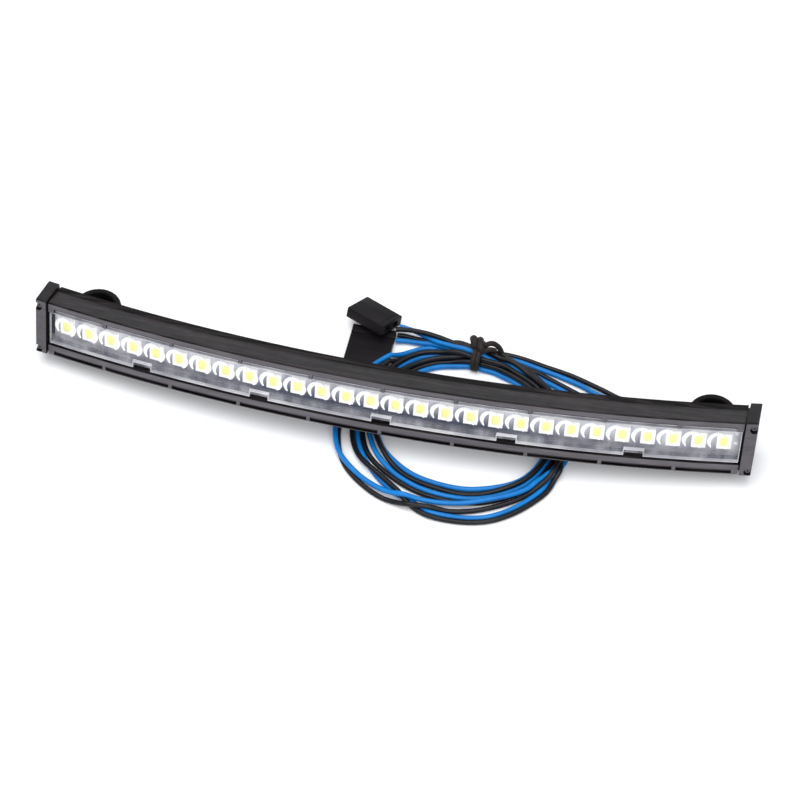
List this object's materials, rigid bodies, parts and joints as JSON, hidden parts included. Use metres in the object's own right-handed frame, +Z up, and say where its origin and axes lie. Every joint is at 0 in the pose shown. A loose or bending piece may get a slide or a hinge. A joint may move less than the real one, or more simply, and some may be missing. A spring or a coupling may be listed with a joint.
{
  "type": "led light bar",
  "caption": "Slim curved LED light bar for a model truck's roof, with a clear lens strip, end caps, rear mounting feet and a tied coil of blue and black leads with plugs.",
  "frame": {"origin": "on the plane of the mounting feet's undersides, below the middle of the bar without its leads", "axes": "+X along the bar to its right end seen from the front, +Y from the lens to the rear, +Z up"},
  "size_m": [0.1466, 0.0512, 0.0177],
  "materials": {
    "housing_plastic": "moulded black nylon, fine satin grain",
    "cover_plastic": "moulded black nylon, satin",
    "cap_plastic": "moulded black nylon, satin, edges slightly worn",
    "lens_clear": "clear polycarbonate with moulded LED cups",
    "board": "white solder mask, light grey in shade",
    "led_package": "white LED package with yellow phosphor gel",
    "resistor_body": "black chip resistor",
    "screw_black": "black oxide steel",
    "gland_rubber": "black rubber",
    "wire_black": "black PVC insulation, semi-gloss",
    "wire_blue": "blue PVC insulation, semi-gloss",
    "tie_plastic": "black twist tie",
    "connector_plastic": "black moulded plug"
  },
  "bodies": {
    "root": {"housing": "housing_plastic", "rear_cover": "cover_plastic", "lens": "lens_clear", "circuit_board": "board", "end_cap_left": "cap_plastic", "end_cap_right": "cap_plastic", "cap_screw_left_upper": "screw_black", "cap_screw_left_lower": "screw_black", "cap_screw_right_upper": "screw_black", "cap_screw_right_lower": "screw_black", "lead_gland": "gland_rubber", "lead_coil": "wire_black", "twist_tie": "tie_plastic", "connector_upper": "connector_plastic", "connector_lower": "connector_plastic", "led_01": "led_package", "led_02": "led_package", "led_03": "led_package", "led_04": "led_package", "led_05": "led_package", "led_06": "led_package", "led_07": "led_package", "led_08": "led_package", "led_09": "led_package", "led_10": "led_package", "led_11": "led_package", "led_12": "led_package", "led_13": "led_package", "led_14": "led_package", "led_15": "led_package", "led_16": "led_package", "led_17": "led_package", "led_18": "led_package", "led_19": "led_package", "led_20": "led_package", "led_21": "led_package", "led_22": "led_package", "led_23": "led_package", "led_24": "led_package", "led_25": "led_package", "led_26": "led_package", "led_27": "led_package", "led_28": "led_package", "resistor_1": "resistor_body", "resistor_2": "resistor_body", "resistor_3": "resistor_body", "resistor_4": "resistor_body", "exit_wire_black_1": "wire_black", "exit_wire_black_2": "wire_black", "lead_black_upper": "wire_black", "lead_black_lower": "wire_black", "exit_wire_blue_1": "wire_blue", "exit_wire_blue_2": "wire_blue", "lead_blue_upper": "wire_blue", "lead_blue_lower": "wire_blue"}
  },
  "joints": []
}
